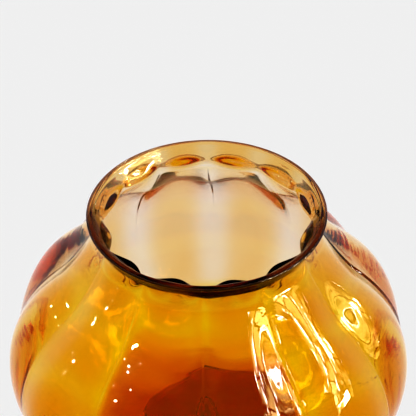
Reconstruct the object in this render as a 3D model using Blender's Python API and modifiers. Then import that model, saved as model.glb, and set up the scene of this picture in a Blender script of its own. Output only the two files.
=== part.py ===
"""Hand blown amber glass vase: a globe of twelve soft lobes with a short flared neck.

Four gathers of glass, each its own object: the blown body, the lip wrap, which is a thread of glass
laid round the outer edge of the mouth, the foot under the body and the pontil button left in the hollow
of the foot. Metres, +Z up, the foot rests on z = 0 and the axis of the vase is the Z axis. A valley
between two lobes faces the front, -Y.
"""

import math

import bmesh
import bpy

# Overall sizes
HEIGHT = 0.1660
BELLY_RADIUS = 0.1018
BELLY_HEIGHT = 0.0758
RIM_RADIUS = 0.0540
SEAM = 0.0003

# Lobes
LOBES = 12
STEPS_PER_LOBE = 8
FRONT = math.radians(-90.0)

# Body, outside
SHOULDER_RISE = 0.0800
UNDER_RISE = 0.0750
SHOULDER_END = math.radians(45.2)
THROAT_RADIUS = 0.0504
NECK_DROP = 0.0080
NECK_FOOT = 0.0128
NECK_SLOPE = 0.42
NECK_BEND = 0.0008
NECK_REACH = 0.0040
NECK_PULL = 0.0035

# Body, wall
WALL = 0.0019
SHOULDER_WALL = 0.0015
THROAT_WALL = 0.0032
BELLY_CROWN = 0.0052
SHOULDER_CROWN = 0.0032
THROAT_CROWN = 0.0080
RIM_EXTRA = 0.0004
NECK_GROOVE = 0.0002
SHOULDER_GROOVE = 0.0026
BELLY_GROOVE = 0.0017
SHOULDER_SHARE = 0.65
SHOULDER_HEIGHT = 0.1280
SWELL_FOOT = 0.1515
FADE_HEIGHT = 0.0380
FLOOR_HEIGHT = 0.0135
FLOOR_BLEND = 0.0035

# Rim and lip wrap
RIM_WALL = 0.0021
RIM_ROUND = 0.0003
WRAP_RADIUS = 0.00055
WRAP_STEPS = 96
WRAP_SIDES = 10

# Foot and pontil button
FOOT_RADIUS = 0.0385
FOOT_HEIGHT = 0.0056
FOOT_ROUND = 0.0022
HOLLOW_RADIUS = 0.0150
HOLLOW_DEPTH = 0.0030
HOLLOW_SLOPE = 0.0020
BUTTON_RADIUS = 0.0095
BUTTON_HEIGHT = 0.0017

# Heights that follow from the sizes above, and the number of rows in each stretch
BODY_FLOOR = FOOT_HEIGHT + SEAM
THROAT = HEIGHT - NECK_DROP
FLARE_SLOPE = (RIM_RADIUS - THROAT_RADIUS) / NECK_DROP
LEDGE = HEIGHT - 2.0 * WRAP_RADIUS - SEAM
UNDER_ROWS = 9
SHOULDER_ROWS = 6
BEND_ROWS = 4
NECK_ROWS = 9
FOOT_STEPS = 64
BUTTON_STEPS = 32


def clear_scene():
    for old in list(bpy.data.objects):
        bpy.data.objects.remove(old, do_unlink=True)


def glass(name, colour, roughness):
    material = bpy.data.materials.new(name)
    material.use_nodes = True
    shader = material.node_tree.nodes["Principled BSDF"]
    shader.inputs["Base Color"].default_value = (*colour, 1.0)
    shader.inputs["Roughness"].default_value = roughness
    shader.inputs["Metallic"].default_value = 0.0
    shader.inputs["IOR"].default_value = 1.5
    shader.inputs["Transmission Weight"].default_value = 0.9
    return material


def object_from(name, builder, material, group):
    mesh = bpy.data.meshes.new(name)
    builder.to_mesh(mesh)
    builder.free()
    mesh.materials.append(material)
    made = bpy.data.objects.new(name, mesh)
    group.objects.link(made)
    return made


def mix(start, end, part):
    return start + (end - start) * part


def ease(part):
    part = min(max(part, 0.0), 1.0)
    return part * part * (3.0 - 2.0 * part)


def swell(turn):
    """0 in a valley and 1 on the crown of a lobe, with a crease in each valley."""
    return abs(math.sin(0.5 * LOBES * (turn - FRONT)))


def bezier(points, part):
    rest = 1.0 - part
    weights = (rest**3, 3.0 * rest * rest * part, 3.0 * rest * part * part, part**3)
    return tuple(sum(w * p[axis] for w, p in zip(weights, points)) for axis in (0, 1))


def with_normals(profile):
    """Each (radius, height) of the profile with the unit vector that points out of the glass there."""
    rows = []
    for index, (radius, height) in enumerate(profile):
        before = profile[max(index - 1, 0)]
        after = profile[min(index + 1, len(profile) - 1)]
        along = (after[0] - before[0], after[1] - before[1])
        length = math.hypot(*along)
        rows.append((radius, height, along[1] / length, -along[0] / length))
    return rows


def globe_point(angle, radius, rise, sink):
    height = rise if angle > 0.0 else sink
    return radius * math.cos(angle), BELLY_HEIGHT + height * math.sin(angle)


def outside_profile():
    """Crown line of the body from the edge of its flat floor up to the ledge under the lip wrap."""
    start = -math.asin((BELLY_HEIGHT - BODY_FLOOR) / UNDER_RISE)
    angles = [mix(start, 0.0, i / UNDER_ROWS) for i in range(UNDER_ROWS)]
    angles += [SHOULDER_END * i / SHOULDER_ROWS for i in range(SHOULDER_ROWS + 1)]
    profile = [globe_point(a, BELLY_RADIUS, SHOULDER_RISE, UNDER_RISE) for a in angles]
    end = profile[-1]
    slope = (-BELLY_RADIUS * math.sin(SHOULDER_END), SHOULDER_RISE * math.cos(SHOULDER_END))
    length = math.hypot(*slope)
    foot, top = HEIGHT - NECK_FOOT, LEDGE
    heights = [mix(foot, top, i / NECK_ROWS) for i in range(NECK_ROWS + 1)]
    neck = [(neck_radius(height), height) for height in heights]
    climb = (neck[1][0] - neck[0][0], neck[1][1] - neck[0][1])
    rise = math.hypot(*climb)
    controls = (
        end,
        (end[0] + NECK_REACH * slope[0] / length, end[1] + NECK_REACH * slope[1] / length),
        (neck[0][0] - NECK_PULL * climb[0] / rise, neck[0][1] - NECK_PULL * climb[1] / rise),
        neck[0],
    )
    profile += [bezier(controls, i / BEND_ROWS) for i in range(1, BEND_ROWS)]
    return with_normals(profile + neck)


def soft(distance, width):
    """0 below zero and the distance itself above it, with a rounded corner of that width."""
    return width * math.log1p(math.exp(distance / width))


def neck_radius(height):
    """Outside radius of the neck, which closes in up to the throat and flares above it."""
    flare = FLARE_SLOPE * soft(height - THROAT, NECK_BEND)
    return THROAT_RADIUS + flare + NECK_SLOPE * soft(THROAT - height, NECK_BEND)


def rim_profile():
    """The ledge that the lip wrap lies on, and the edge of glass that stands up inside it."""
    radius = RIM_RADIUS - 2.0 * WRAP_RADIUS - SEAM
    return ((radius, LEDGE), (radius, HEIGHT - RIM_ROUND), (radius - RIM_ROUND, HEIGHT))


def neck_part(height):
    """0 at the belly, 1 at the throat and above."""
    return (height - BELLY_HEIGHT) / (THROAT - BELLY_HEIGHT)


def by_height(height, belly, shoulder, neck):
    """A depth that runs from the belly over the shoulder to the neck."""
    part = neck_part(height)
    if part < SHOULDER_SHARE:
        return mix(belly, shoulder, ease(part / SHOULDER_SHARE))
    return mix(shoulder, neck, ease((part - SHOULDER_SHARE) / (1.0 - SHOULDER_SHARE)))


def groove(height):
    """Depth of the valleys on the outside, fading out toward the floor."""
    fade = ease((height - BODY_FLOOR) / FADE_HEIGHT)
    return fade * by_height(height, BELLY_GROOVE, SHOULDER_GROOVE, NECK_GROOVE)


def over_shoulder(height):
    """0 at the belly and 1 at the top of the shoulder."""
    return ease((height - BELLY_HEIGHT) / (SHOULDER_HEIGHT - BELLY_HEIGHT))


def crown_glass(height):
    """Thickness of the glass on the crowns of the lobes, most of all at the throat."""
    close_in = ease((height - SWELL_FOOT) / (THROAT - SWELL_FOOT))
    open_out = ease((height - THROAT) / NECK_DROP)
    below = mix(mix(BELLY_CROWN, SHOULDER_CROWN, over_shoulder(height)), THROAT_CROWN, close_in)
    return mix(below, RIM_WALL + RIM_EXTRA, open_out)


def inward(height):
    """Depth by which the crowns stand into the vase on the inside, fading out toward the floor."""
    fade = ease((height - FLOOR_HEIGHT) / FADE_HEIGHT)
    return fade * (crown_glass(height) - groove(height) - wall(height))


def wall(height):
    """Thickness of the glass in a valley: thin on the shoulder, thick at the throat."""
    thin = mix(WALL, SHOULDER_WALL, over_shoulder(height))
    thick = mix(thin, THROAT_WALL, ease((height - SWELL_FOOT) / (THROAT - SWELL_FOOT)))
    return mix(thick, RIM_WALL, min(max((height - THROAT) / NECK_DROP, 0.0), 1.0))


def inside_profile(outside):
    """Valley line of the inside, from just off the axis up to the rim."""
    upper = [
        (r - (groove(z) + wall(z)) * nr, z - (groove(z) + wall(z)) * nz)
        for r, z, nr, nz in outside
        if z > BELLY_HEIGHT
    ]
    upper[-1] = (upper[-1][0], HEIGHT)
    radius = BELLY_RADIUS - groove(BELLY_HEIGHT) - WALL
    angles = [math.radians(-90.0 * (1.0 - i / UNDER_ROWS)) for i in range(1, UNDER_ROWS + 1)]
    bowl = [globe_point(a, radius, SHOULDER_RISE, UNDER_RISE - WALL) for a in angles]
    lower = [(r, above_floor(z)) for r, z in bowl]
    return with_normals(lower + upper)


def above_floor(height):
    """The height itself well above the floor of the vase, easing into the floor's height below it."""
    return FLOOR_HEIGHT + soft(height - FLOOR_HEIGHT, FLOOR_BLEND)


def ring(builder, row, depth):
    """One loop of the surface: the profile row moved into the glass by depth(turn)."""
    radius, height, out_radius, out_height = row
    corners = []
    count = LOBES * STEPS_PER_LOBE
    for step in range(count):
        turn = FRONT + 2.0 * math.pi * step / count
        shift = depth(turn)
        r = radius - shift * out_radius
        place = (r * math.cos(turn), r * math.sin(turn), height - shift * out_height)
        corners.append(builder.verts.new(place))
    return corners


def skin(builder, lower, upper):
    for index in range(len(lower)):
        after = (index + 1) % len(lower)
        builder.faces.new((lower[index], lower[after], upper[after], upper[index]))


def cap(builder, loop, height, upward):
    centre = builder.verts.new((0.0, 0.0, height))
    for index in range(len(loop)):
        after = (index + 1) % len(loop)
        pair = (loop[index], loop[after]) if upward else (loop[after], loop[index])
        builder.faces.new((*pair, centre))


def build_body(group):
    builder = bmesh.new()
    outside = outside_profile()
    loops = []
    for row in outside:
        cut = groove(row[1])
        loops.append(ring(builder, row, lambda turn, cut=cut: cut * (1.0 - swell(turn))))
    for radius, height in rim_profile():
        loops.append(ring(builder, (radius, height, 1.0, 0.0), lambda turn: 0.0))
    for row in reversed(inside_profile(outside)):
        push = inward(row[1])
        flat = (row[0], row[1], row[2], 0.0 if row[1] > THROAT else row[3])
        loops.append(ring(builder, flat, lambda turn, push=push: push * swell(turn)))
    for lower, upper in zip(loops, loops[1:]):
        skin(builder, lower, upper)
    cap(builder, loops[0], BODY_FLOOR, False)
    cap(builder, loops[-1], FLOOR_HEIGHT, True)
    return object_from("body", builder, glass("amber_glass", (0.80, 0.33, 0.02), 0.04), group)


def build_lip(group):
    bpy.ops.mesh.primitive_torus_add(
        major_radius=RIM_RADIUS - WRAP_RADIUS,
        minor_radius=WRAP_RADIUS,
        major_segments=WRAP_STEPS,
        minor_segments=WRAP_SIDES,
        location=(0.0, 0.0, HEIGHT - WRAP_RADIUS),
    )
    made = bpy.context.object
    made.name = "lip_wrap"
    made.data.materials.append(glass("dark_amber_glass", (0.36, 0.10, 0.01), 0.03))
    for collection in list(made.users_collection):
        collection.objects.unlink(made)
    group.objects.link(made)


def turned(name, profile, steps, material, group):
    """A piece turned about Z from a profile that runs down its outer side."""
    builder = bmesh.new()
    corners = [builder.verts.new((radius, 0.0, height)) for radius, height in profile]
    for first, second in zip(corners, corners[1:]):
        builder.edges.new((first, second))
    made = object_from(name, builder, material, group)
    screw = made.modifiers.new("turn", "SCREW")
    screw.axis = "Z"
    screw.steps = steps
    screw.render_steps = steps
    screw.use_merge_vertices = True
    screw.merge_threshold = 0.00001
    return made


def build_foot(group):
    corner = [math.radians(90.0 - 30.0 * i) for i in range(7)]
    middle = 0.5 * FOOT_HEIGHT
    edge = [
        (FOOT_RADIUS - FOOT_ROUND + FOOT_ROUND * math.cos(a), middle + middle * math.sin(a)) for a in corner
    ]
    profile = [(0.0, FOOT_HEIGHT), (0.5 * FOOT_RADIUS, FOOT_HEIGHT), *edge]
    profile += [
        (HOLLOW_RADIUS + HOLLOW_SLOPE, 0.0),
        (HOLLOW_RADIUS, 0.6 * HOLLOW_DEPTH),
        (HOLLOW_RADIUS - HOLLOW_SLOPE, HOLLOW_DEPTH),
        (0.0, HOLLOW_DEPTH),
    ]
    material = glass("foot_glass", (0.55, 0.17, 0.015), 0.05)
    return turned("foot", profile, FOOT_STEPS, material, group)


def build_button(group):
    top = HOLLOW_DEPTH - SEAM
    base = top - BUTTON_HEIGHT
    profile = [
        (0.0, top),
        (BUTTON_RADIUS, top),
        (BUTTON_RADIUS, mix(base, top, 0.60)),
        (0.84 * BUTTON_RADIUS, mix(base, top, 0.22)),
        (0.50 * BUTTON_RADIUS, base),
        (0.0, mix(base, top, 0.10)),
    ]
    material = glass("pontil_glass", (0.62, 0.24, 0.03), 0.35)
    return turned("pontil_button", profile, BUTTON_STEPS, material, group)


def main():
    clear_scene()
    group = bpy.data.collections.new("lobed_glass_vase")
    bpy.context.scene.collection.children.link(group)
    build_body(group)
    build_lip(group)
    build_foot(group)
    build_button(group)


main()
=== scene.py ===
"""Amber hand blown glass vase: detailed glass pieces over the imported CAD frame, in metres."""

import math

import bpy
import numpy as np
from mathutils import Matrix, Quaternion, Vector


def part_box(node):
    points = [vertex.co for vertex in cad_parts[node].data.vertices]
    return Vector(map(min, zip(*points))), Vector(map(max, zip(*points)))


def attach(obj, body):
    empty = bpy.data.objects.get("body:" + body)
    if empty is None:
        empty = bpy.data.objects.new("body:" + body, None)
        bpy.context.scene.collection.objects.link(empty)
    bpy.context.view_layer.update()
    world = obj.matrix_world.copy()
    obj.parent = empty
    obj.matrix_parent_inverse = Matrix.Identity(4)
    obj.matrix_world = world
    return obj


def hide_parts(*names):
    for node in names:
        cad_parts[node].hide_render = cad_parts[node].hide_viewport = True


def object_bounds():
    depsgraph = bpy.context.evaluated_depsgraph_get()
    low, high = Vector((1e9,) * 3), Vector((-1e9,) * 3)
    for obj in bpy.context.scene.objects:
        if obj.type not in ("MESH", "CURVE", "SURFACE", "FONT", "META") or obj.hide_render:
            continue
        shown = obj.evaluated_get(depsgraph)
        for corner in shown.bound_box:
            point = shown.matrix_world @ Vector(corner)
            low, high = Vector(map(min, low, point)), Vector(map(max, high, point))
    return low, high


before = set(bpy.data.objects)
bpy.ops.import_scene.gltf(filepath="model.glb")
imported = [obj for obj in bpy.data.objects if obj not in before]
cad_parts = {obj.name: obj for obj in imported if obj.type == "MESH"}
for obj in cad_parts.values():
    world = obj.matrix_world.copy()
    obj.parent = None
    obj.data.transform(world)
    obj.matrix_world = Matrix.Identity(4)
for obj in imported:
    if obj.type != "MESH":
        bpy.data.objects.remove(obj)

CAD_LOW, CAD_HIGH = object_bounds()

# Overall sizes, read from the frame
HEIGHT = CAD_HIGH.z
RIM_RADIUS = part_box("lip_wrap")[1].x
BODY_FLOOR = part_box("body")[0].z
FOOT_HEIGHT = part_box("foot")[1].z
FOOT_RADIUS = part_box("foot")[1].x
BUTTON_LOW, BUTTON_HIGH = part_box("pontil_button")

# Form of the body, as in the CAD model, apart from deeper valleys on the shoulder and thinner crowns
# at the throat
BELLY_RADIUS = 0.1018
BELLY_HEIGHT = 0.0758
LOBES = 12
FRONT = math.radians(-90.0)
SHOULDER_RISE = 0.0800
UNDER_RISE = 0.0750
SHOULDER_END = math.radians(45.2)
THROAT_RADIUS = 0.0504
NECK_DROP = 0.0080
NECK_FOOT = 0.0128
NECK_SLOPE = 0.42
NECK_BEND = 0.0008
NECK_REACH = 0.0040
NECK_PULL = 0.0035
THROAT = HEIGHT - NECK_DROP
FLARE_SLOPE = (RIM_RADIUS - THROAT_RADIUS) / NECK_DROP
WALL = 0.0019
SHOULDER_WALL = 0.0015
SHOULDER_HEIGHT = 0.1280
SWELL_FOOT = 0.1515
THROAT_WALL = 0.0032
BELLY_CROWN = 0.0052
SHOULDER_CROWN = 0.0032
THROAT_CROWN = 0.0060
RIM_EXTRA = 0.0004
BELLY_GROOVE = 0.0017
SHOULDER_GROOVE = 0.0040
THROAT_GROOVE = 0.0002
FLOOR_HEIGHT = 0.0135
FLOOR_BLEND = 0.0035
FADE_HEIGHT = 0.038
SHOULDER_SHARE = 0.65

# Rim, and the thread of glass laid round it
RIM_WALL = 0.0021
RIM_ROUND = 0.0012
WRAP_RADIUS = 0.5 * (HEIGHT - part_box("lip_wrap")[0].z)
WRAP_GAP = 0.0001

# Handwork: how far each valley wanders, how much the lobes differ in depth, the ripple of the surfaces
VALLEY_WANDER = math.radians(1.5)
DEPTH_SPREAD = 0.16
OUTER_RIPPLE = 0.00016
INNER_RIPPLE = 0.00014
CALM_FLOOR = 0.020
CALM_WELL = 0.030
CALM_RIM = 0.006
CALM_LIP = 0.004

# How much thicker the crowns at the throat are on the front side
FRONT_EXTRA = 0.0034

# Foot and pontil: the flat ring and the hollow in it, the rounded edge, how high the grinding reaches
HOLLOW_GAP = 0.0003
HOLLOW_RADIUS = 0.0122
HOLLOW_EDGE = 0.0126
RING_RADIUS = 0.0170
TOP_RADIUS = 0.0180
CENTRE_RADIUS = 0.0005
ROUND_EDGE = 0.0022
GROUND_HEIGHT = 0.0012
RIDGE_DEPTH = 0.00022
RIDGE_FADE = 0.0009
BUTTON_CLEARANCE = 0.00012

# Roundness of the valleys, outside (crease) and inside (fold): larger is softer
CREASE = 0.28
NECK_CREASE = 0.60
CREASE_LOW = 0.105
CREASE_HIGH = 0.135
FOLD = 0.35
BODY_FOLD = 1.00
COLOUR_SOFTNESS = 0.25

WHITE = (1.0, 1.0, 1.0)
BLACK = (0.0, 0.0, 0.0)

# Sampling of the surfaces
PER_LOBE = 36
OUTER_ROWS = 210
RIM_ROWS = 18
COVE_ROWS = 9
INNER_ROWS = 220
TURN_STEPS = 192
WRAP_SIDES = 16

rng = np.random.default_rng(7)
DRIFT = rng.uniform(-1.0, 1.0, (LOBES, 3))
LOBE_DEPTH = 1.0 + DEPTH_SPREAD * rng.uniform(-1.0, 1.0, LOBES)
DRIFT[0] = (0.3, -0.9, 0.2)


def ease(x):
    x = np.clip(x, 0.0, 1.0)
    return x * x * (3.0 - 2.0 * x)


def mix(a, b, t):
    return a + (b - a) * t


def by_height(z, belly, shoulder, neck):
    """A depth that runs from the belly over the shoulder to the neck."""
    part = (z - BELLY_HEIGHT) / (THROAT - BELLY_HEIGHT)
    low = mix(belly, shoulder, ease(part / SHOULDER_SHARE))
    high = mix(shoulder, neck, ease((part - SHOULDER_SHARE) / (1.0 - SHOULDER_SHARE)))
    return np.where(part < SHOULDER_SHARE, low, high)


def evenly(points, count):
    """The same polyline with its points spaced evenly."""
    steps = np.r_[0.0, np.cumsum(np.linalg.norm(np.diff(points, axis=0), axis=1))]
    at = np.linspace(0.0, steps[-1], count)
    return np.stack([np.interp(at, steps, points[:, k]) for k in (0, 1)], axis=1)


def outward(points):
    """Unit vectors square to a line that climbs, away from the axis."""
    along = np.gradient(points, axis=0)
    along /= np.linalg.norm(along, axis=1)[:, None]
    return np.stack([along[:, 1], -along[:, 0]], axis=1)


def arc(start, end, count, radius, rise):
    a = np.linspace(start, end, count)
    return np.stack([radius * np.cos(a), BELLY_HEIGHT + rise * np.sin(a)], axis=1)


def soft(x, width):
    """0 below zero and x above it, with a rounded corner of that width."""
    return width * np.log1p(np.exp(x / width))


def neck_radius(z):
    """Outside radius of the neck: it closes in up to the throat and flares above it."""
    flare = FLARE_SLOPE * soft(z - THROAT, NECK_BEND)
    return THROAT_RADIUS + flare + NECK_SLOPE * soft(THROAT - z, NECK_BEND)


def outer_line():
    """Crown line of the outside, from the edge of the floor up to the lip."""
    start = -math.asin((BELLY_HEIGHT - BODY_FLOOR) / UNDER_RISE)
    low = arc(start, 0.0, 200, BELLY_RADIUS, UNDER_RISE)
    up = arc(0.0, SHOULDER_END, 160, BELLY_RADIUS, SHOULDER_RISE)[1:]
    slope = up[-1] - up[-2]
    slope = slope / np.linalg.norm(slope)
    z = np.linspace(HEIGHT - NECK_FOOT, HEIGHT - 2.0 * WRAP_RADIUS - 2.0 * WRAP_GAP, 120)
    neck = np.stack([neck_radius(z), z], axis=1)
    climb = neck[1] - neck[0]
    climb = climb / np.linalg.norm(climb)
    c = (up[-1], up[-1] + NECK_REACH * slope, neck[0] - NECK_PULL * climb, neck[0])
    t = np.linspace(0.0, 1.0, 90)[1:-1, None]
    rest = 1.0 - t
    bend = rest**3 * c[0] + 3.0 * rest * rest * t * c[1] + 3.0 * rest * t * t * c[2] + t**3 * c[3]
    return np.concatenate([low, up, bend, neck])


def cove_line():
    """The hollow round the outer edge of the rim, as offsets from the centre of the thread in it."""
    a = np.radians(np.linspace(-78.0, -180.0, COVE_ROWS))
    return (WRAP_RADIUS + WRAP_GAP) * np.stack([np.cos(a), np.sin(a)], axis=1)


def groove(z):
    """Depth of the valleys on the outside."""
    depth = by_height(z, BELLY_GROOVE, SHOULDER_GROOVE, THROAT_GROOVE)
    return ease((z - BODY_FLOOR) / FADE_HEIGHT) * depth


def at_throat(z):
    """1 at the throat, falling to 0 at the rim and at the foot of the neck."""
    return ease((z - SWELL_FOOT) / (THROAT - SWELL_FOOT)) * (1.0 - ease((z - THROAT) / NECK_DROP))


def crown_glass(z):
    """Thickness of the glass on the crowns: most of all at the throat."""
    body = mix(BELLY_CROWN, SHOULDER_CROWN, ease((z - BELLY_HEIGHT) / (SHOULDER_HEIGHT - BELLY_HEIGHT)))
    ends = np.where(z < THROAT, body, RIM_WALL + RIM_EXTRA)
    return mix(ends, THROAT_CROWN, at_throat(z))


def swell(z):
    """Depth by which the crowns stand into the vase on the inside."""
    return ease((z - FLOOR_HEIGHT) / FADE_HEIGHT) * (crown_glass(z) - groove(z) - wall(z))


def wall(z):
    """Thickness of the glass in the valleys."""
    thin = mix(WALL, SHOULDER_WALL, ease((z - BELLY_HEIGHT) / (SHOULDER_HEIGHT - BELLY_HEIGHT)))
    thick = mix(thin, THROAT_WALL, ease((z - SWELL_FOOT) / (THROAT - SWELL_FOOT)))
    return mix(thick, RIM_WALL, np.clip((z - THROAT) / NECK_DROP, 0.0, 1.0))


def above_floor(z):
    """The height itself well above the floor of the vase, easing into the floor's height below it."""
    return FLOOR_HEIGHT + soft(z - FLOOR_HEIGHT, FLOOR_BLEND)


def inner_line(outer):
    """Valley line of the inside, from the axis up to the lip."""
    z = outer[:, 1]
    inset = outer - (groove(z) + wall(z))[:, None] * outward(outer)
    top = HEIGHT - RIM_ROUND
    upper = inset[(z > BELLY_HEIGHT) & (inset[:, 1] < top)]
    upper = np.concatenate([upper, [[np.interp(top, z, outer[:, 0]) - groove(top) - wall(top), top]]])
    a = np.linspace(-0.5 * math.pi, 0.0, 220)[1:-1]
    sink = UNDER_RISE - WALL
    lower = np.stack([upper[0, 0] * np.cos(a), above_floor(BELLY_HEIGHT + sink * np.sin(a))], axis=1)
    return np.concatenate([lower, upper])


def valley_turns(z):
    """Angle of each valley at height z, with the small drifts of handwork."""
    t = ((z - BELLY_HEIGHT) / (HEIGHT - BELLY_HEIGHT))[:, None]
    base = FRONT + 2.0 * math.pi * np.arange(LOBES) / LOBES
    wander = DRIFT[:, 0] + DRIFT[:, 1] * (t - 0.5) + 0.5 * DRIFT[:, 2] * np.sin(5.0 * t)
    return base + VALLEY_WANDER * wander


def lobe_steps():
    """Positions across one lobe, closer together beside its valleys."""
    t = np.arange(PER_LOBE) / PER_LOBE
    return t - 0.085 * np.sin(2.0 * math.pi * t)


def crown(u, softness):
    """0 in the valley and 1 on the crown."""
    s = np.sqrt(np.sin(math.pi * u) ** 2 + softness**2) - softness
    return s / (np.sqrt(1.0 + softness**2) - softness)


def turns_of(z):
    """For each height, the angle of every column, its place across its lobe and the lobe's depth."""
    valleys = valley_turns(z)
    after = np.concatenate([valleys[:, 1:], valleys[:, :1] + 2.0 * math.pi], axis=1)
    u = lobe_steps()
    turns = valleys[:, :, None] + (after - valleys)[:, :, None] * u
    across = np.broadcast_to(u, turns.shape)
    strength = np.broadcast_to(LOBE_DEPTH[:, None], turns.shape[1:])
    return turns.reshape(len(z), -1), across.reshape(len(z), -1), strength.reshape(-1)


def waviness(turns, z, size, seed):
    """Slow hand made unevenness of a surface, in metres."""
    local = np.random.default_rng(seed)
    total = np.zeros_like(turns)
    for order in range(1, 9):
        a, b, c = local.uniform(0.0, 2.0 * math.pi, 3)
        k = local.uniform(18.0, 95.0)
        total += np.sin(order * turns + a) * np.sin(k * z[:, None] + b) / (1.0 + 0.35 * order)
        total += 0.5 * np.sin(k * 2.3 * z[:, None] + c) / (2.0 + order)
    return 0.5 * size * total


def skin(name, loops, material, closed_ring=False):
    """A closed smooth mesh over loops of points: capped at both ends, or joined end to end as a ring."""
    rows, count = loops.shape[:2]
    points = loops.reshape(-1, 3)
    spans = rows if closed_ring else rows - 1
    row = np.arange(spans)[:, None] * count
    above = (np.arange(1, spans + 1) % rows)[:, None] * count
    at = np.arange(count)[None, :]
    after = (at + 1) % count
    faces = np.stack([row + at, row + after, above + after, above + at], axis=-1).reshape(-1, 4).tolist()
    if not closed_ring:
        last = (rows - 1) * count
        first_centre = len(points)
        points = np.concatenate([points, [loops[0].mean(axis=0), loops[-1].mean(axis=0)]])
        faces += [((k + 1) % count, k, first_centre) for k in range(count)]
        faces += [(last + k, last + (k + 1) % count, first_centre + 1) for k in range(count)]
    mesh = bpy.data.meshes.new(name)
    mesh.from_pydata(points.tolist(), [], faces)
    mesh.shade_smooth()
    mesh.materials.append(material)
    made = bpy.data.objects.new(name, mesh)
    bpy.context.scene.collection.objects.link(made)
    return made


def round_loop(radius, z, turns):
    level = np.broadcast_to(z, turns.shape)
    return np.stack([radius * np.cos(turns), radius * np.sin(turns), level], axis=-1)


def turned(name, profile, material):
    profile = np.array(profile)
    turns = 2.0 * math.pi * np.arange(TURN_STEPS) / TURN_STEPS
    turns = np.broadcast_to(turns, (len(profile), TURN_STEPS))
    return skin(name, round_loop(profile[:, :1], profile[:, 1:], turns), material)


def body_loops():
    """Loops up the outside, over the rim and down the inside, and how near a crown each point is."""
    line = outer_line()
    outer = evenly(line, OUTER_ROWS)
    z = outer[:, 1]
    turns, across, strength = turns_of(z)
    n = outward(outer)
    crease = mix(CREASE, NECK_CREASE, ease((z - CREASE_LOW) / (CREASE_HIGH - CREASE_LOW)))[:, None]
    cut = groove(z)[:, None] * strength * (1.0 - crown(across, crease))
    calm = ease((z - BODY_FLOOR) / CALM_FLOOR) * ease((HEIGHT - z) / CALM_RIM)
    cut += waviness(turns, z, OUTER_RIPPLE, 3) * calm[:, None]
    outside = round_loop(outer[:, :1] - cut * n[:, :1], z[:, None] - cut * n[:, 1:], turns)

    inner = evenly(inner_line(line), INNER_ROWS)
    ni = outward(inner)[::-1]
    inner = inner[::-1]
    zi = inner[:, 1]
    turns_i, across_i, strength_i = turns_of(zi)
    fold = mix(BODY_FOLD, FOLD, ease((zi - SWELL_FOOT) / (THROAT - SWELL_FOOT)))[:, None]
    toward_front = ease(np.cos(turns_i - FRONT))
    depth = (swell(zi)[:, None] + FRONT_EXTRA * at_throat(zi)[:, None] * toward_front) * strength_i
    push = depth * crown(across_i, fold)
    calm = ease((zi - FLOOR_HEIGHT) / CALM_WELL) * ease((HEIGHT - zi) / CALM_LIP)
    push += waviness(turns_i, zi, INNER_RIPPLE, 5) * calm[:, None]
    level_push = push * ni[:, 1:] * ease((THROAT - zi) / CALM_LIP)[:, None]
    inside = round_loop(inner[:, :1] - push * ni[:, :1], zi[:, None] - level_push, turns_i)
    inner_edge = inner[0, 0] - push[0] * ni[0, 0]

    centre = (RIM_RADIUS - WRAP_RADIUS, HEIGHT - WRAP_RADIUS)
    cove = cove_line() + centre
    top_turns = np.broadcast_to(turns[-1], (COVE_ROWS, turns.shape[1]))
    hollow = round_loop(cove[:, :1], cove[:, 1:], top_turns)
    middle, half = 0.5 * (cove[-1, 0] + inner_edge), 0.5 * (cove[-1, 0] - inner_edge)
    a = np.linspace(0.0, math.pi, RIM_ROWS + 2)[1:-1, None]
    rise = np.where(a < 0.5 * math.pi, WRAP_RADIUS, RIM_ROUND)
    top_turns = np.broadcast_to(turns[-1], (RIM_ROWS, turns.shape[1]))
    rim = round_loop(middle + half * np.cos(a), HEIGHT - rise + rise * np.sin(a), top_turns)
    loops = np.concatenate([outside, hollow, rim, inside])
    share = np.ones(loops.shape[:2])
    share[:OUTER_ROWS] = crown(across, COLOUR_SOFTNESS)
    share[-INNER_ROWS:] = crown(across_i, COLOUR_SOFTNESS)
    return loops, share


def wrap_loops():
    """A thread of glass round the rim, a little uneven in thickness."""
    local = np.random.default_rng(11)
    turns = 2.0 * math.pi * np.arange(2 * TURN_STEPS) / (2 * TURN_STEPS)
    thin = sum(np.sin(k * turns + local.uniform(0.0, 6.3)) / k for k in (2, 3, 5, 9, 14))
    radius = WRAP_RADIUS * (0.93 + 0.035 * thin)
    a = 2.0 * math.pi * np.arange(WRAP_SIDES)[:, None] / WRAP_SIDES
    across = RIM_RADIUS - WRAP_RADIUS + radius * np.cos(a)
    turns = np.broadcast_to(turns, across.shape)
    return round_loop(across, HEIGHT - WRAP_RADIUS + radius * np.sin(a), turns)


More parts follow.
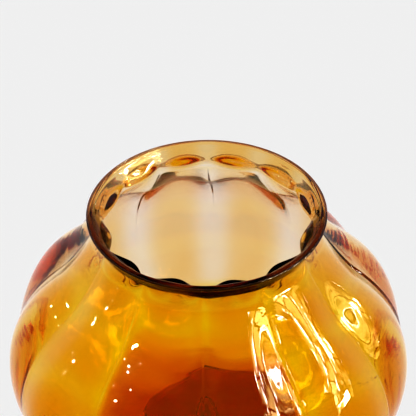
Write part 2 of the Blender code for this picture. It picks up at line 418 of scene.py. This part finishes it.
class Nodes:
    """A material's node tree, with short ways to add and join nodes."""

    def __init__(self, name):
        self.material = bpy.data.materials.new(name)
        self.material.use_nodes = True
        self.tree = self.material.node_tree
        self.shader = self.tree.nodes["Principled BSDF"]
        self.place = self.add("ShaderNodeTexCoord").outputs["Object"]

    def add(self, kind, **settings):
        node = self.tree.nodes.new(kind)
        for key, value in settings.items():
            setattr(node, key, value)
        return node

    def join(self, output, socket):
        self.tree.links.new(output, socket)

    def noise(self, scale, detail=3.0, roughness=0.5, distortion=0.0, at=None):
        """Noise stretched by a scale per axis, in cycles per metre."""
        mapping = self.add("ShaderNodeMapping")
        self.join(self.place if at is None else at, mapping.inputs["Vector"])
        mapping.inputs["Scale"].default_value = scale
        texture = self.add("ShaderNodeTexNoise")
        texture.inputs["Scale"].default_value = 1.0
        texture.inputs["Detail"].default_value = detail
        texture.inputs["Roughness"].default_value = roughness
        texture.inputs["Distortion"].default_value = distortion
        self.join(mapping.outputs["Vector"], texture.inputs["Vector"])
        return texture.outputs["Fac"]

    def ramp(self, value, stops):
        """A smooth colour ramp from (position, colour) stops."""
        node = self.add("ShaderNodeValToRGB")
        node.color_ramp.interpolation = "EASE"
        elements = node.color_ramp.elements
        while len(elements) < len(stops):
            elements.new(0.5)
        for element, (position, colour) in zip(elements, stops):
            element.position = position
            element.color = (*colour, 1.0)
        self.join(value, node.inputs["Fac"])
        return node.outputs["Color"]

    def math(self, operation, first, second):
        node = self.add("ShaderNodeMath", operation=operation)
        for socket, value in zip(node.inputs, (first, second)):
            if isinstance(value, (int, float)):
                socket.default_value = value
            else:
                self.join(value, socket)
        return node.outputs["Value"]

    def multiply(self, first, second, factor=1.0):
        node = self.add("ShaderNodeMix", data_type="RGBA", blend_type="MULTIPLY")
        node.inputs["Factor"].default_value = factor
        self.join(first, node.inputs["A"])
        self.join(second, node.inputs["B"])
        return node.outputs["Result"]

    def bump(self, height, distance, strength=1.0, under=None):
        node = self.add("ShaderNodeBump")
        node.inputs["Distance"].default_value = distance
        node.inputs["Strength"].default_value = strength
        self.join(height, node.inputs["Height"])
        if under is not None:
            self.join(under, node.inputs["Normal"])
        return node.outputs["Normal"]

    def glass(self, absorb, density, ior=1.5):
        self.shader.inputs["IOR"].default_value = ior
        self.shader.inputs["Transmission Weight"].default_value = 1.0
        volume = self.add("ShaderNodeVolumeAbsorption")
        volume.inputs["Color"].default_value = (*absorb, 1.0)
        volume.inputs["Density"].default_value = density
        self.join(volume.outputs["Volume"], self.tree.nodes["Material Output"].inputs["Volume"])


def body_glass():
    """Clear amber, deeper on the crowns; darker near the floor of the vase, partly thicker amber and
    partly painted shade, and deeper on the front side as painted shade.

    In front, the rim is tinted dark, and the bulges inside the throat are an opaque near-black: both are
    painted shade, with their reflections dimmed as well.
    """
    n = Nodes("amber_glass")
    n.glass((0.92, 0.60, 0.03), 35.0)
    height = n.add("ShaderNodeSeparateXYZ")
    n.join(n.place, height.inputs["Vector"])
    drift = n.math("MULTIPLY_ADD", n.noise((22.0, 22.0, 30.0), 2.0), 0.016)
    drift.node.inputs[2].default_value = -0.008
    level = n.math("DIVIDE", n.math("ADD", height.outputs["Z"], drift), HEIGHT)
    # Tint by height. The dark red toward the floor of the vase is partly thicker amber and partly painted
    # shade, standing in for the shadowed floor under it.
    level_tint_with_painted_shade = n.ramp(
        level,
        (
            (0.035, (0.48, 0.03, 0.005)),
            (0.055, (0.70, 0.18, 0.008)),
            (0.085, (1.00, 0.64, 0.01)),
            (0.120, (1.00, 0.94, 0.015)),
            (0.180, (1.00, 0.86, 0.04)),
            (0.240, (1.00, 0.96, 0.80)),
            (0.700, WHITE),
            (0.925, (1.00, 1.00, 0.92)),
            (0.955, (0.93, 0.80, 0.48)),
        ),
    )
    streaks = n.ramp(
        n.noise((26.0, 26.0, 9.0), 4.0, 0.55, 0.6),
        ((0.30, (0.96, 0.90, 0.80)), (0.62, (0.98, 0.96, 0.94))),
    )
    # Painted shade: the front side is tinted deeper amber, as it looks from the front, and the back paler.
    side = n.math("MULTIPLY_ADD", height.outputs["Y"], 8.0)
    side.node.inputs[2].default_value = 0.5
    deeper = n.ramp(n.math("ADD", side, drift), ((0.20, (0.97, 0.81, 0.06)), (0.62, WHITE)))
    across = n.math("MULTIPLY", height.outputs["X"], height.outputs["X"])
    along = n.math("MULTIPLY", height.outputs["Y"], height.outputs["Y"])
    reach = n.math("DIVIDE", n.math("SQRT", n.math("ADD", across, along), 0.0), RIM_RADIUS)
    # Painted shade: the bulges inside the throat that face the front are made an opaque near-black.
    inside = n.ramp(reach, ((0.895, WHITE), (0.915, BLACK)))
    throat_level = n.ramp(level, ((0.940, BLACK), (0.951, WHITE)))
    at_rim = n.ramp(level, ((0.962, BLACK), (0.975, WHITE)))
    in_front = n.ramp(side, ((0.36, WHITE), (0.62, BLACK)))
    facing = n.ramp(side, ((0.27, WHITE), (0.40, BLACK)))
    painted_throat_shade = n.math("MULTIPLY", n.math("MULTIPLY", inside, throat_level), facing)
    throat_shade_colour = n.ramp(painted_throat_shade, ((0.0, WHITE), (1.0, (0.010, 0.004, 0.002))))
    # Painted shade: the rim on the front side is tinted near-black.
    painted_rim_shade = n.math("MULTIPLY", at_rim, in_front)
    rim_shade_colour = n.ramp(painted_rim_shade, ((0.0, WHITE), (1.0, (0.05, 0.010, 0.006))))
    crowns = n.add("ShaderNodeAttribute", attribute_name="crown").outputs["Fac"]
    by_lobe = n.ramp(crowns, ((0.0, (0.98, 0.93, 0.93)), (1.0, (0.97, 0.81, 0.56))))
    tint = n.multiply(n.multiply(n.multiply(level_tint_with_painted_shade, streaks), by_lobe), deeper)
    n.join(n.multiply(n.multiply(tint, throat_shade_colour), rim_shade_colour), n.shader.inputs["Base Color"])
    # The painted shade on the bulges and the front rim also darkens their reflections.
    lip = n.math("MAXIMUM", painted_throat_shade, painted_rim_shade)
    n.join(n.ramp(lip, ((0.0, WHITE), (1.0, (0.12, 0.07, 0.06)))), n.shader.inputs["Specular Tint"])
    n.join(painted_throat_shade, n.shader.inputs["Metallic"])
    smear = n.noise((60.0, 60.0, 60.0), 3.0)
    n.join(n.math("MULTIPLY", n.math("POWER", smear, 3.0), 0.05), n.shader.inputs["Roughness"])
    rings = n.bump(n.noise((9.0, 9.0, 420.0), 2.0, 0.5, 0.2), 0.00004)
    dimples = n.bump(n.noise((120.0, 120.0, 90.0), 1.0), 0.00003, 1.0, rings)
    n.join(dimples, n.shader.inputs["Normal"])
    return n.material


def wrap_glass():
    """Deep amber thread with lighter drawn streaks along it."""
    n = Nodes("dark_amber_glass")
    n.glass((0.45, 0.15, 0.0), 2000.0)
    n.join(
        n.ramp(
            n.noise((90.0, 90.0, 500.0), 3.0),
            ((0.30, (1.0, 0.72, 0.45)), (0.65, (1.0, 0.95, 0.85))),
        ),
        n.shader.inputs["Base Color"],
    )
    n.join(n.math("MULTIPLY", n.noise((200.0, 200.0, 400.0)), 0.06), n.shader.inputs["Roughness"])
    n.join(n.bump(n.noise((150.0, 150.0, 900.0), 2.0), 0.00002), n.shader.inputs["Normal"])
    return n.material


def foot_glass():
    """Thick red-brown amber, ground under the foot."""
    n = Nodes("foot_glass")
    n.glass((0.90, 0.60, 0.02), 240.0)
    height = n.add("ShaderNodeSeparateXYZ")
    n.join(n.place, height.inputs["Vector"])
    ground = n.ramp(n.math("DIVIDE", height.outputs["Z"], GROUND_HEIGHT), ((0.2, WHITE), (1.0, BLACK)))
    grain = n.math("MULTIPLY_ADD", n.noise((900.0, 900.0, 900.0), 4.0), 0.30)
    grain.node.inputs[2].default_value = 0.22
    smooth = n.math("MULTIPLY", n.noise((80.0, 80.0, 80.0)), 0.06)
    rough = n.add("ShaderNodeMix", data_type="FLOAT")
    n.join(ground, rough.inputs["Factor"])
    n.join(smooth, rough.inputs["A"])
    n.join(grain, rough.inputs["B"])
    n.join(rough.outputs["Result"], n.shader.inputs["Roughness"])
    n.join(
        n.ramp(
            n.noise((45.0, 45.0, 60.0), 4.0, 0.55, 0.8),
            ((0.30, (1.0, 0.62, 0.25)), (0.70, (1.0, 0.85, 0.55))),
        ),
        n.shader.inputs["Base Color"],
    )
    n.join(n.bump(n.noise((60.0, 60.0, 60.0), 2.0), 0.00006), n.shader.inputs["Normal"])
    return n.material


def pontil_glass():
    """Rough snapped glass: chips and ridges with a frosted skin."""
    n = Nodes("pontil_glass")
    n.glass((0.92, 0.62, 0.05), 240.0)
    n.join(
        n.ramp(
            n.noise((260.0, 260.0, 260.0), 4.0),
            ((0.30, (1.0, 0.60, 0.22)), (0.70, (1.0, 0.86, 0.55))),
        ),
        n.shader.inputs["Base Color"],
    )
    n.join(n.math("MULTIPLY", n.noise((700.0, 700.0, 700.0), 4.0), 0.75), n.shader.inputs["Roughness"])
    chips = n.add("ShaderNodeTexVoronoi", feature="F1")
    chips.inputs["Scale"].default_value = 420.0
    n.join(n.place, chips.inputs["Vector"])
    n.join(n.bump(chips.outputs["Distance"], 0.0006, 0.8), n.shader.inputs["Normal"])
    return n.material


def declare(piece, node):
    """Puts a piece under the root in place of its node's CAD part, which is hidden. The clear body leaves
    the floor's light alone, and the others shade it.
    """
    piece.visible_shadow = node != "body"
    piece.visible_diffuse = node != "body"
    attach(piece, "root")
    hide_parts(node)


def foot_line():
    """Profile of the foot from the axis under it, round the hollow and the edge, to the axis on top."""
    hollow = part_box("pontil_button")[1].z + HOLLOW_GAP
    line = [(CENTRE_RADIUS, hollow), (HOLLOW_RADIUS, hollow)]
    for k in range(9):
        part = ease(k / 8.0)
        line.append((mix(HOLLOW_EDGE, RING_RADIUS, k / 8.0), mix(hollow, 0.0, part)))
    middle = 0.5 * FOOT_HEIGHT
    line.append((0.5 * (RING_RADIUS + FOOT_RADIUS), 0.0))
    for k in range(17):
        a = math.radians(-90.0 + 180.0 * k / 16.0)
        line.append((FOOT_RADIUS - ROUND_EDGE + ROUND_EDGE * math.cos(a), middle + middle * math.sin(a)))
    return line + [(TOP_RADIUS, FOOT_HEIGHT), (CENTRE_RADIUS, FOOT_HEIGHT)]


def button_loops():
    """The stub of glass in the hollow: a low lump whose underside is broken into uneven ridges."""
    local = np.random.default_rng(5)
    turns = 2.0 * math.pi * np.arange(96) / 96
    top, base, radius = BUTTON_HIGH.z, BUTTON_LOW.z, BUTTON_HIGH.x
    rings = []
    for k in range(26):
        part = k / 25.0
        level = mix(base + BUTTON_CLEARANCE, top, ease(part) ** 1.6)
        rings.append((radius * math.sin(0.5 * math.pi * part) ** 0.8, level))
    loops = []
    for r, z in rings:
        r = max(r, 0.0003)
        ridges = sum(np.sin(m * turns + local.uniform(0.0, 6.3) + 900.0 * r) / m for m in (2, 3, 5, 8))
        lift = RIDGE_DEPTH * ridges * float(ease((top - z) / RIDGE_FADE))
        edge = r * (1.0 - 0.03 + 0.012 * np.sin(3.0 * turns + 1.0) + 0.008 * np.sin(7.0 * turns))
        height = np.clip(z + lift, base, top)
        loops.append(np.stack([edge * np.cos(turns), edge * np.sin(turns), height], axis=-1))
    return np.stack(loops)


body_points, crown_share = body_loops()
body = skin("body_glass", body_points, body_glass())
crowns = body.data.attributes.new("crown", "FLOAT", "POINT")
crowns.data.foreach_set("value", np.r_[crown_share.reshape(-1), 0.0, 0.0])
declare(body, "body")
declare(skin("lip_wrap_glass", wrap_loops(), wrap_glass(), True), "lip_wrap")
declare(turned("foot_glass", foot_line(), foot_glass()), "foot")
declare(skin("pontil_button_glass", button_loops(), pontil_glass()), "pontil_button")

# Floor
FLOOR_SIZE = 6.0
FLOOR_GAP = 0.0002
s = FLOOR_SIZE
floor_mesh = bpy.data.meshes.new("floor")
floor_mesh.from_pydata([(-s, -s, 0), (s, -s, 0), (s, s, 0), (-s, s, 0)], [], [(0, 1, 2, 3)])
floor = bpy.data.objects.new("floor", floor_mesh)
floor.location.z = -FLOOR_GAP
floor.visible_glossy = False
bpy.context.scene.collection.objects.link(floor)
pale = bpy.data.materials.new("pale_floor")
pale.use_nodes = True
pale.node_tree.nodes["Principled BSDF"].inputs["Base Color"].default_value = (0.86, 0.86, 0.86, 1.0)
pale.node_tree.nodes["Principled BSDF"].inputs["Roughness"].default_value = 1.0
pale.node_tree.nodes["Principled BSDF"].inputs["Specular IOR Level"].default_value = 0.0
floor_mesh.materials.append(pale)

# World: an even pale surround that lights the floor, a backdrop of the floor's own tone, and for
# what the glass mirrors and refracts a room that is bright behind the vase and warm in front of it
SKY_STRENGTH = 0.612
BACKDROP_STRENGTH = 0.526
ROOM = ((-0.30, (0.49, 0.31, 0.04)), (0.00, (0.60, 0.48, 0.18)), (0.40, (0.60, 0.60, 0.60)))
world = bpy.data.worlds.new("studio")
world.use_nodes = True
wn, wl = world.node_tree.nodes, world.node_tree.links
sky = wn["Background"]
sky.inputs["Color"].default_value = (*WHITE, 1.0)
sky.inputs["Strength"].default_value = SKY_STRENGTH
room = wn.new("ShaderNodeBackground")
way = wn.new("ShaderNodeTexCoord")
axes = wn.new("ShaderNodeSeparateXYZ")
wl.new(way.outputs["Generated"], axes.inputs["Vector"])
behind = wn.new("ShaderNodeValToRGB")
behind.color_ramp.interpolation = "EASE"
stops = behind.color_ramp.elements
stops.new(0.50)
for stop, (position, colour) in zip(stops, ROOM):
    stop.position = 0.5 + 0.5 * position
    stop.color = (*colour, 1.0)
toward_back = wn.new("ShaderNodeMath")
toward_back.operation = "MULTIPLY_ADD"
toward_back.inputs[1].default_value = 0.5
toward_back.inputs[2].default_value = 0.5
wl.new(axes.outputs["Y"], toward_back.inputs[0])
wl.new(toward_back.outputs["Value"], behind.inputs["Fac"])
wl.new(behind.outputs["Color"], room.inputs["Color"])
path = wn.new("ShaderNodeLightPath")
pick = wn.new("ShaderNodeMixShader")
wl.new(path.outputs["Is Glossy Ray"], pick.inputs["Fac"])
wl.new(sky.outputs["Background"], pick.inputs[1])
wl.new(room.outputs["Background"], pick.inputs[2])
backdrop = wn.new("ShaderNodeBackground")
backdrop.inputs["Color"].default_value = (*WHITE, 1.0)
backdrop.inputs["Strength"].default_value = BACKDROP_STRENGTH
seen = wn.new("ShaderNodeMixShader")
wl.new(path.outputs["Is Camera Ray"], seen.inputs["Fac"])
wl.new(pick.outputs["Shader"], seen.inputs[1])
wl.new(backdrop.outputs["Background"], seen.inputs[2])
wl.new(seen.outputs["Shader"], wn["World Output"].inputs["Surface"])
bpy.context.scene.world = world


def aim(obj, toward, distance, target=(0.0, 0.0, 0.12)):
    """Puts a light at a distance from the vase in a direction, facing it, and keeps it off the floor."""
    target = Vector(target)
    obj.location = target + distance * Vector(toward).normalized()
    obj.rotation_euler = (target - obj.location).to_track_quat("-Z", "Y").to_euler()
    obj.visible_diffuse = False
    bpy.context.scene.collection.objects.link(obj)


def lamp(name, toward, size, power):
    """A small lamp that only shows as a fleck of light on the glass."""
    data = bpy.data.lights.new(name, "AREA")
    data.shape = "RECTANGLE"
    data.size, data.size_y = size
    data.energy = power
    light = bpy.data.objects.new(name, data)
    light.visible_transmission = False
    aim(light, toward, LAMP_DISTANCE)


def window(name, toward, distance, size, panes, strength, roll, mirrored=True):
    """A big bright window of panes with blinds, mirrored by the glass or seen through it."""
    w, h = 0.5 * size[0], 0.5 * size[1]
    mesh = bpy.data.meshes.new(name)
    mesh.from_pydata([(-w, -h, 0), (w, -h, 0), (w, h, 0), (-w, h, 0)], [], [(3, 2, 1, 0)])
    n = Nodes(name + "_light")
    bars = n.add("ShaderNodeTexBrick", offset=0.0, squash=1.0)
    bars.inputs["Color1"].default_value = (0.42, 0.34, 0.16, 1.0)
    bars.inputs["Color2"].default_value = (0.16, 0.12, 0.03, 1.0)
    bars.inputs["Mortar"].default_value = (0.0, 0.0, 0.0, 1.0)
    bars.inputs["Scale"].default_value = 1.0
    bars.inputs["Mortar Size"].default_value = 0.03
    bars.inputs["Mortar Smooth"].default_value = 0.0
    bars.inputs["Brick Width"].default_value = size[0] / panes[0]
    bars.inputs["Row Height"].default_value = size[1] / panes[1]
    n.join(n.place, bars.inputs["Vector"])
    outdoors = n.noise((1.3, 1.3, 1.0), 6.0, 0.6, 0.4)
    broken = n.ramp(outdoors, ((0.40, (0.05, 0.04, 0.02)), (0.56, WHITE)))
    streak = n.noise((0.5, 2.4, 1.0), 5.0, 0.6, 0.3)
    gleam = n.ramp(streak, ((0.54, BLACK), (0.58, (1.0, 0.98, 0.92))))
    both = n.add("ShaderNodeMix", data_type="RGBA", blend_type="ADD")
    both.inputs["Factor"].default_value = 1.0
    n.join(n.multiply(bars.outputs["Color"], broken), both.inputs["A"])
    n.join(gleam, both.inputs["B"])
    glow = n.add("ShaderNodeEmission")
    glow.inputs["Strength"].default_value = strength
    n.join(both.outputs["Result"], glow.inputs["Color"])
    n.join(glow.outputs["Emission"], n.tree.nodes["Material Output"].inputs["Surface"])
    mesh.materials.append(n.material)
    pane = bpy.data.objects.new(name, mesh)
    aim(pane, toward, distance)
    turned_pane = pane.rotation_euler.to_quaternion() @ Quaternion((0.0, 0.0, 1.0), roll)
    pane.rotation_euler = turned_pane.to_euler()
    pane.visible_camera = False
    pane.visible_shadow = False
    pane.visible_glossy = mirrored
    pane.visible_transmission = not mirrored


TOWARD_WINDOW = (0.84, -0.20, 0.48)
WINDOW_SIZE = (2.6, 2.6)
WINDOW_ROLL = math.radians(50.0)
LAMP_DISTANCE = 2.4
window("window_right", TOWARD_WINDOW, 3.0, WINDOW_SIZE, (3, 4), 25.0, WINDOW_ROLL)
window("window_low", (0.87, -0.44, 0.14), 3.0, (1.2, 0.7), (4, 2), 36.0, 0.0)
window("window_inside", TOWARD_WINDOW, 3.1, WINDOW_SIZE, (3, 4), 6.0, WINDOW_ROLL, False)
lamp("side_lamp", (-0.96, -0.20, 0.20), (0.035, 0.035), 1.0)
lamp("far_lamp", (-0.95, -0.04, 0.32), (0.03, 0.03), 0.7)
lamp("high_lamp", (-0.92, -0.24, 0.36), (0.02, 0.035), 0.5)

# Camera, at the viewing angle of a person who looks down at the mouth
ELEVATION = math.radians(38.2)
AZIMUTH = math.radians(2.0)
ROLL = math.radians(-0.75)
DISTANCE = 6.0 * RIM_RADIUS
FRAME_WIDTH = 416.0
LENS = 719.5
SHIFT = (1.4, -3.0)
level_away = math.cos(ELEVATION)
away = Vector((math.sin(AZIMUTH) * level_away, -math.cos(AZIMUTH) * level_away, math.sin(ELEVATION)))
camera_data = bpy.data.cameras.new("camera")
camera_data.sensor_width = 36.0
camera_data.lens = camera_data.sensor_width * LENS / FRAME_WIDTH
camera_data.shift_x = SHIFT[0] / FRAME_WIDTH
camera_data.shift_y = SHIFT[1] / FRAME_WIDTH
camera_data.clip_start = 0.01
camera = bpy.data.objects.new("camera", camera_data)
camera.location = Vector((0.0, 0.0, HEIGHT)) + DISTANCE * away
camera.rotation_mode = "QUATERNION"
camera.rotation_quaternion = (-away).to_track_quat("-Z", "Y") @ Quaternion((0.0, 0.0, 1.0), ROLL)
bpy.context.scene.collection.objects.link(camera)
bpy.context.scene.camera = camera

BOUNCES = 40
scene = bpy.context.scene
scene.view_settings.view_transform = "Standard"
scene.view_settings.look = "Very High Contrast"
scene.cycles.max_bounces = BOUNCES
scene.cycles.transmission_bounces = BOUNCES
scene.cycles.glossy_bounces = BOUNCES
